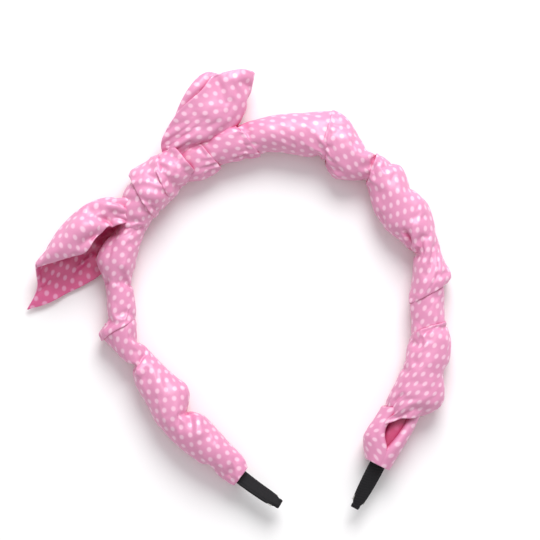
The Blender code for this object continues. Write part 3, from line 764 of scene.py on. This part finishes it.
# %% Rolled edges
OPEN_END = (
    # s, out, in, up, half the opening in degrees
    (156.0, 5.9, 8.2, 6.0, 46.0), (161.0, 6.2, 8.8, 7.0, 56.0), (165.0, 6.2, 9.6, 7.4, 52.0),
    (170.0, 5.6, 9.9, 7.0, 36.0), (174.0, 5.2, 9.0, 6.4, 18.0), (177.4, 5.0, 7.6, 5.8, 6.0),
    (181.4, 4.8, 5.2, 5.0, 3.0),
)
OPENING_LEAN = 0.45
ROLL_STEPS = 9
ROLL_RADIUS = 1.7
OPEN_ROUND_STEPS = 64
OPENING_TURN = -0.12   # radians, how far the opening is turned from straight up
ROLL_TURN = 1.25 * math.pi


def open_end(name, rows_turn, seed):
    """A tube open along its top, whose edges curl back inwards."""
    table = np.array(OPEN_END)
    rows = int(round((table[-1, 0] - table[0, 0]) / ROW_STEP)) + 1
    s = np.linspace(table[0, 0], table[-1, 0], rows)
    values = smooth_through(table[:, 0], table[:, 1:], s)
    share = np.linspace(0, 1, OPEN_ROUND_STEPS)
    half_open = np.radians(values[:, 3])[:, None]
    middle = math.pi / 2 + OPENING_TURN
    angle = middle + half_open + share * (2 * math.pi - 2 * half_open)
    x, z = section_points(values[:, None, :3], angle)
    rolls = []
    for end, way in ((0, 1), (-1, -1)):
        base_x, base_z = x[:, [end]], z[:, [end]]
        inward = np.hypot(base_x, base_z)
        nx, nz = base_x / inward, base_z / inward
        tx, tz = -nz * way, nx * way
        curl = np.linspace(0, ROLL_TURN, ROLL_STEPS)[1:]
        roll_x = base_x - ROLL_RADIUS * (nx * (1 - np.cos(curl)) + tx * np.sin(curl))
        roll_z = base_z - ROLL_RADIUS * (nz * (1 - np.cos(curl)) + tz * np.sin(curl))
        rolls.append((roll_x, roll_z) if way == -1 else (roll_x[:, ::-1], roll_z[:, ::-1]))
    x = np.concatenate([rolls[0][0], x, rolls[1][0]], axis=1)
    z = np.concatenate([rolls[0][1], z, rolls[1][1]], axis=1)
    place_s = s[:, None] - OPENING_LEAN * x * ease((table[-1, 0] - s) / 18.0)[:, None]
    u = np.concatenate([np.zeros((rows, 1)), np.cumsum(np.hypot(np.diff(x), np.diff(z)), axis=1)], axis=1)
    lift = wrinkles(seed, place_s, u, 4.0, 2.4, 0.5)
    reach = np.hypot(x, z)
    x, z = x * (1 + lift / reach), np.maximum(z * (1 + lift / reach), REST)
    points = place(place_s, x, z)
    uv = rows_along(u - u[:, [u.shape[1] // 2]], s, rows_turn)
    obj = add_sheet(name + "_satin", points, uv, False)
    return make_solid(obj, CLOTH_THICKNESS, 0.0)


made["sash_right_end"] = open_end("sash_right_end", (-10.0, -10.0), 15)

# %% [markdown]
# ## The knot
# Three bands of the sash cross over the hoop and bulge between their creases, which lean the other way
# from those of the winding.

# %% Knot
wind("knot_left", ("tuck", 0.0, 0.0), ("tuck", -0.45, -0.45), rows_turn=(-15.0, -9.0), seed=21, slope=2.5)
wind("knot_middle", ("rim", -0.45, -0.45), ("tuck", -0.45, -0.45), under=("knot_left",),
     rows_turn=(-9.0, -11.0), seed=22, slope=2.5)
wind("knot_right", ("rim", -0.45, -0.45), ("rim", 0.1, 0.1), under=("knot_middle",),
     rows_turn=(5.0, 3.0), seed=23, slope=2.5)

# %% [markdown]
# ## The ears
# Each ear is the sash's free end, folded lengthwise. A net of points gives its folds, and a smooth
# surface is drawn through the net.

# %% Ear surface
def through_net(net, row_step, column_step):
    """A smooth grid through a net of points in mm, and its own lengths for the cloth's coordinates."""
    net = np.array(net, float)

    def refine(lines, step):
        chords = np.linalg.norm(np.diff(lines, axis=0), axis=2).mean(axis=1)
        knots = np.concatenate([[0.0], np.cumsum(chords)])
        count = max(4, int(round(knots[-1] / step)))
        spots = np.linspace(0, knots[-1], count + 1)
        padded = np.concatenate([[2 * lines[0] - lines[1]], lines, [2 * lines[-1] - lines[-2]]])
        i = np.clip(np.searchsorted(knots, spots, side="right") - 1, 0, len(knots) - 2)
        t = ((spots - knots[i]) / (knots[i + 1] - knots[i]))[:, None, None]
        a, b, c, d = padded[i], padded[i + 1], padded[i + 2], padded[i + 3]
        return 0.5 * (2 * b + (c - a) * t + (2 * a - 5 * b + 4 * c - d) * t**2
                      + (3 * b - a - 3 * c + d) * t**3)

    grid = refine(net, row_step)
    return refine(grid.transpose(1, 0, 2), column_step).transpose(1, 0, 2)


RELAX_STEPS = 400


def laid_flat(grid):
    """The cloth's own coordinates: the grid relaxed in the plane until its threads have their lengths."""
    def lengths(axis):
        steps = np.linalg.norm(np.diff(grid, axis=axis), axis=2)
        pad = np.zeros_like(steps.take([0], axis=axis))
        return np.cumsum(np.concatenate([pad, steps], axis=axis), axis=axis)

    middle = grid.shape[1] // 2
    over = lengths(1)
    down = lengths(0)
    flat = np.stack([over - over[:, [middle]], np.repeat(down[:, [middle]], grid.shape[1], axis=1)], axis=-1)
    whole, ahead, behind = slice(None), slice(1, None), slice(None, -1)
    pairs = (((behind, whole), (ahead, whole)), ((whole, behind), (whole, ahead)),
             ((behind, behind), (ahead, ahead)), ((behind, ahead), (ahead, behind)))
    for _ in range(RELAX_STEPS):
        move = np.zeros_like(flat)
        for a, b in pairs:
            wanted = np.linalg.norm(grid[b] - grid[a], axis=2, keepdims=True)
            span = flat[b] - flat[a]
            now = np.linalg.norm(span, axis=2, keepdims=True) + 1e-9
            pull = 0.12 * span * (1 - wanted / now)
            move[a] += pull
            move[b] -= pull
        flat = flat + move
    return flat


def ear_sheet(name, net, turn, seed, gathers, crumple=0.0, ripple=0.5):
    """An ear from its net, whose columns run from the free edge of the layer on top to the one below."""
    grid = through_net(net, 1.0, 0.9)
    uv = laid_flat(grid)
    normal = np.cross(np.gradient(grid, axis=0), np.gradient(grid, axis=1))
    normal /= np.linalg.norm(normal, axis=2, keepdims=True) + 1e-9
    lift = wrinkles(seed, uv[..., 1], uv[..., 0], 5.0, 2.6, ripple)
    along = uv[..., 1] - uv[..., 1].min()
    lift += tension_folds(seed, uv[..., 1], uv[..., 0], 0.05, gathers) * ease(1.5 - along / 26.0)
    from_hem = uv[..., 0] - uv[..., 0].min(axis=1, keepdims=True)
    near_knot = ease((38.0 - along) / 14.0) * ease(1.2 - from_hem / 9.0)
    lift += wrinkles(seed + 7, along, from_hem, 2.8, 9.0, crumple) * near_knot
    grid = settled((grid + lift[..., None] * normal + SHIFT) * MM, EAR_EXTRA_CLOTH, EAR_WRINKLE_CAP,
                   closed=False, pressure=0.0)
    c, d = math.cos(turn), math.sin(turn)
    obj = add_sheet(name + "_satin", grid, uv @ np.array([[c, d], [-d, c]]), False)
    # The inner face takes the darker satin: painted shade inside the fold.
    return make_solid(obj, CLOTH_THICKNESS, 0.0, ear_painted_shade_satin)


# %% [markdown]
# Rows run from the knot to the tip, columns from the lap hidden inside round to the free edge on top.
# The columns are turned round before use, so that the right side of the satin faces out.

# %% Upper ear
UPPER_EAR = (
    ((-28, 57.5, 3), (-31, 57.5, 3.5), (-32.5, 58, 1), (-30, 57, -1), (-26, 55.5, -2), (-23.5, 54.5, 0),
     (-25, 55.5, 4), (-28.5, 57.5, 7), (-33.6, 58.2, 3.5)),
    ((-27, 63.5, 4), (-30.5, 63.3, 4.5), (-31.6, 63.3, 2), (-28, 61.5, -2), (-23, 58.5, -3),
     (-18.8, 57.6, -1), (-19.5, 59, 3.5), (-24.5, 61.8, 8), (-32.8, 64, 4.5)),
    ((-24, 69, 5.5), (-27.8, 68.8, 6.5), (-29.2, 68, 3.5), (-25, 66, -1), (-18, 62.5, -3), (-11.8, 59.8, -2),
     (-11.6, 61.2, 3), (-18, 66, 9), (-29.5, 69.3, 6.5)),
    ((-16.5, 75.3, 7), (-22.3, 75.2, 8), (-24.6, 74.5, 5.5), (-18, 72, 0), (-11, 68.5, -2), (-5.0, 64.0, -2),
     (-3.8, 65.8, 3.5), (-9.5, 70, 9.5), (-22.2, 75.8, 9)),
    ((-10.5, 80.5, 7), (-17, 81.5, 9), (-19.2, 80.8, 6), (-13, 78.5, 1), (-6, 75.5, -1), (0.4, 71.0, -1),
     (1.5, 72.8, 4), (-3.5, 76.0, 9), (-14, 80.8, 10)),
    ((-6.5, 84.5, 6.5), (-12, 86.2, 8), (-14.2, 85.6, 6), (-8.5, 84, 1.5), (-1.5, 82, 0), (4.4, 78, 0),
     (5.4, 79.8, 4), (0.5, 82.2, 8.5), (-10, 84.6, 9.5)),
    ((-5.5, 86.2, 6), (-9.2, 88.0, 7), (-10.6, 87.4, 5.5), (-6, 86.8, 2), (0, 86.6, 1), (6.2, 86.0, 1.5),
     (7.9, 84.6, 3.5), (3.5, 86.6, 7.5), (-7.2, 86.4, 9)),
)
made["ear_upper"] = ear_sheet("ear_upper", np.array(UPPER_EAR)[:, ::-1], math.pi / 2, 31, 0.9)

# %% [markdown]
# It opens downwards: its top layer ends in a free edge, and the far layer shows through the opening. The
# inner faces of both ears are a darker copy of the satin, painted shade inside the fold.

# %% Lower ear
LOWER_EAR = (
    ((-50, 36, 5), (-50, 38, 7), (-49, 42, 6), (-47, 44.5, 2), (-48, 42, -2), (-50, 38, -3), (-51, 34, -3)),
    ((-57.5, 35.3, 9), (-57.5, 38, 8.5), (-56.5, 42, 10), (-57.0, 46.6, 4), (-56, 43, -2), (-57, 36, -4),
     (-58, 24, -5)),
    ((-64.0, 32.8, 10), (-64.8, 35.5, 9.5), (-65, 40.5, 12), (-64.6, 45.4, 5), (-64, 41.5, -2),
     (-65, 31, -4.5), (-66.3, 17.8, -6)),
    ((-69.5, 27.6, 10), (-70.6, 30.5, 10.5), (-72, 36.5, 13), (-72.2, 42.0, 6), (-72, 38, -2),
     (-73, 27, -4.5), (-74.1, 14.8, -6)),
    ((-75.5, 25.8, 9), (-76.5, 28, 11), (-78, 32.5, 12), (-78.7, 37.1, 6), (-79.5, 33, -1),
     (-80.5, 23, -4), (-81.7, 12.6, -6)),
    ((-82.5, 25.8, 8), (-83.2, 27, 9.5), (-84.4, 29.2, 9.5), (-85.4, 31.0, 5), (-87, 27, 0),
     (-88, 19, -3.5), (-89.3, 10.4, -6)),
    ((-89.5, 25.2, 6), (-89.8, 25.8, 6.5), (-90, 26.4, 6), (-90.4, 26.6, 4), (-91.3, 23.0, 1),
     (-92.4, 16.2, -3), (-98.0, 9.2, -5.5)),
)
made["ear_lower"] = ear_sheet("ear_lower", LOWER_EAR, math.pi / 2, 32, 1.5, crumple=1.4)

# %% [markdown]
# ## Black tape, steel and glue

# %% Tape
def woven_tape():
    """Black grosgrain-like polyester tape: fine ribs across, hardly any gloss."""
    material = new_material("black_woven_tape")
    where = node(material, "ShaderNodeTexCoord").outputs["Object"]
    rib = node(material, "ShaderNodeTexWave", {"bands_direction": "DIAGONAL"}, Vector=where, Scale=420.0,
               Distortion=1.2, Detail=2.0)
    fuzz = node(material, "ShaderNodeTexNoise", Vector=where, Scale=1600.0, Detail=3.0)
    mixed = node(material, "ShaderNodeMath", {"operation": "ADD"}, i0=rib.outputs[0], i1=fuzz.outputs[0])
    bump = node(material, "ShaderNodeBump", Height=mixed.outputs[0], Strength=0.5, Distance=0.0002)
    tone = node(material, "ShaderNodeMix", {"data_type": "RGBA"}, Factor=fuzz.outputs[0])
    tone.inputs["A"].default_value = linear("#09080B")
    tone.inputs["B"].default_value = linear("#19171C")
    shader = node(material, "ShaderNodeBsdfPrincipled", Roughness=0.72, Normal=bump.outputs[0])
    shader.inputs["Specular IOR Level"].default_value = 0.3
    material.node_tree.links.new(tone.outputs["Result"], shader.inputs["Base Color"])
    return finish_with(material, shader)


def spring_steel():
    """Cold-rolled strip: a grey metal with fine lines along the rolling direction."""
    material = new_material("cold_rolled_spring_steel")
    where = node(material, "ShaderNodeTexCoord").outputs["Object"]
    grain = node(material, "ShaderNodeTexNoise", Vector=where, Scale=900.0, Detail=2.0)
    gloss = node(material, "ShaderNodeMapRange", Value=grain.outputs[0])
    gloss.inputs["To Min"].default_value = 0.28
    gloss.inputs["To Max"].default_value = 0.42
    shader = node(material, "ShaderNodeBsdfPrincipled", Roughness=gloss.outputs[0], Metallic=1.0)
    shader.inputs["Base Color"].default_value = linear("#B9B7B4")
    return finish_with(material, shader)


def hot_melt_glue():
    """Set hot-melt adhesive: a cloudy honey-coloured wax."""
    material = new_material("hot_melt_glue")
    where = node(material, "ShaderNodeTexCoord").outputs["Object"]
    cloud = node(material, "ShaderNodeTexNoise", Vector=where, Scale=500.0, Detail=2.0)
    tone = node(material, "ShaderNodeMix", {"data_type": "RGBA"}, Factor=cloud.outputs[0])
    tone.inputs["A"].default_value = linear("#E9DFC4")
    tone.inputs["B"].default_value = linear("#D9CBA6")
    shader = node(material, "ShaderNodeBsdfPrincipled", Roughness=0.35)
    material.node_tree.links.new(tone.outputs["Result"], shader.inputs["Base Color"])
    return finish_with(material, shader)


tape, steel, glue = woven_tape(), spring_steel(), hot_melt_glue()
FINISHES = (("spring_strip", steel), ("tape", tape), ("tip_tape", tape), ("glue", glue))
for name in frame["nodes"]:
    for start_of_name, finish in FINISHES:
        if name.startswith(start_of_name):
            obj = bpy.data.objects[name]
            obj.data.materials.clear()
            obj.data.materials.append(finish)

# %% [markdown]
# ## The bare tips
# The last 20 mm of each leg shows the tape itself: a flat, slightly twisted sleeve whose spiral laps
# leave shallow grooves, gathered past the strip and sealed into a small kinked end. Rings drawn along
# the hoop make it. Their width and thickness are shares of the taped strip's, and their twist comes
# from the frame, so the tip lies where the strip inside it lies.

# %% Bare tips
TAPE_HALF_WIDTH = 3.45
TAPE_HALF_THICKNESS = 0.9
TIP_SECTIONS = {
    # s, share of the width, share of the thickness
    "left": ((-175.3, 0.95, 1.0), (-184.0, 0.90, 1.0), (-189.5, 0.86, 1.0), (-192.6, 0.74, 1.05),
             (-193.9, 0.56, 1.1), (-194.6, 0.62, 1.0), (-195.6, 0.54, 0.8)),
    "right": ((180.6, 1.04, 1.0), (186.0, 1.03, 1.0), (191.0, 0.97, 1.0), (195.5, 0.86, 1.0),
              (198.0, 0.68, 1.1), (199.2, 0.50, 1.05), (200.2, 0.54, 1.0), (200.95, 0.48, 0.8)),
}
TAPE_LAPS = (0.9, 2.2, 4.1, 5.4)   # radians round the tape, where its laps leave a groove
LAP_WIDTH = 0.16                   # radians
LAP_DEPTH = 0.16                   # share of the thickness
TIP_ROWS = 44
TIP_ROUND_STEPS = 48
TIP_SEARCH = 8.0                   # mm, the frame's points that tell how the tape is twisted


def tape_tip(name, side, node_name):
    """The bare length of tape and its gathered, sealed end as one soft-edged piece."""
    source = bpy.data.objects[node_name]
    corners = np.array([source.matrix_world @ vertex.co for vertex in source.data.vertices])
    corners = corners / MM - SHIFT
    table = np.array(TIP_SECTIONS[side])
    centre, normal = hoop_line(table[:1, 0])
    near = corners[np.hypot(*(corners[:, :2] - centre[0]).T) < TIP_SEARCH]
    local = np.stack([(near[:, :2] - centre[0]) @ normal[0], near[:, 2]], axis=1)
    broad = np.linalg.svd(local - local.mean(axis=0), full_matrices=False)[2][0]
    thin = np.array([-broad[1], broad[0]])
    order = np.argsort(table[:, 0])
    s = np.linspace(table[:, 0].min(), table[:, 0].max(), TIP_ROWS)
    shares = smooth_through(table[order, 0], table[order, 1:], s)
    angle = np.linspace(0, 2 * math.pi, TIP_ROUND_STEPS, endpoint=False)
    groove = sum(np.exp(-(((angle - lap) / LAP_WIDTH) ** 2)) for lap in TAPE_LAPS)
    wide = np.sign(np.cos(angle)) * np.abs(np.cos(angle)) ** 0.45
    high = np.sign(np.sin(angle)) * np.abs(np.sin(angle)) ** 0.7 * (1 - LAP_DEPTH * groove)
    across = TAPE_HALF_WIDTH * shares[:, [0]] * wide
    up = TAPE_HALF_THICKNESS * shares[:, [1]] * high
    offset = across[..., None] * broad + up[..., None] * thin
    grid = place(np.repeat(s[:, None], len(angle), axis=1), offset[..., 0], offset[..., 1])
    first = grid[:1].mean(axis=1, keepdims=True)
    last = grid[-1:].mean(axis=1, keepdims=True)
    rings = [np.repeat(first, len(angle), axis=1), 0.5 * (grid[:1] + first), grid,
             0.5 * (grid[-1:] + last), np.repeat(last, len(angle), axis=1)]
    obj = add_sheet(name, np.concatenate(rings), np.zeros((len(s) + 4, len(angle) + 1, 2)), True, tape)
    print(name, len(obj.data.polygons), "faces")
    return obj


for side in ("left", "right"):
    tip_nodes = ("tip_tape_" + side, "tape_end_" + side)
    tip = tape_tip("bare_tip_" + side, side, tip_nodes[0])
    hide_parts(*tip_nodes)
    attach(tip, side + "_leg")

# %% [markdown]
# ## Join the cloth to the frame
# Each piece of cloth hides the CAD solids it takes the place of, and most move with the same body. The turns
# on both sides of a bend are one continuous sash on the real hoop; they are fixed where they lie, on no body.

# %% Bodies and bends
BEND_REACH = 9.0


def bend_ends(s):
    """Points on the centreline on both sides of a hinge."""
    ends = place(np.array([s - BEND_REACH, s + BEND_REACH]), np.zeros(2), 0.0)
    return tuple(ends[0]), tuple(ends[1])


left_from, left_to = bend_ends(LEFT_HINGE)
right_from, right_to = bend_ends(RIGHT_HINGE)
STANDS_FOR = {
    "sash_left_upper": ("left_leg", ("wrap_left_1", "wrap_left_2")),
    "sash_left_lower": ("left_leg", ("wrap_left_3", "wrap_left_4", "wrap_left_5")),
    "sash_by_knot": ("left_leg", ("wrap_by_knot",)),
    "sash_crown_left": ("left_bend", ("wrap_crown_left",)),
    "sash_crown": ("left_bend", ("wrap_crown",)),
    "sash_crown_right": ("right_bend", ("wrap_crown_right",)),
    "sash_right_upper": ("right_bend", ("wrap_right_1", "wrap_right_2")),
    "sash_right_middle": ("right_leg", ("wrap_right_3",)),
    "sash_right_lower": ("right_leg", ("wrap_right_4",)),
    "sash_right_base": ("right_leg", ()),
    "sash_right_end": ("right_leg", ("wrap_right_5",)),
    "knot_left": ("left_leg", ("knot_band_left",)),
    "knot_middle": ("left_leg", ("knot_band_middle",)),
    "knot_right": ("left_leg", ("knot_band_right",)),
    "ear_upper": ("upper_ear", ("ear_upper",)),
    "ear_lower": ("lower_ear", ("ear_lower",)),
}
BENDS = {
    "left_bend": ("left_leg", "crown", left_from, left_to),
    "right_bend": ("crown", "right_leg", right_from, right_to),
}
for name, (moves_with, nodes) in STANDS_FOR.items():
    obj = made[name]
    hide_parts(*nodes)
    if moves_with in BENDS:
        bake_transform(obj)
    else:
        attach(obj, moves_with)
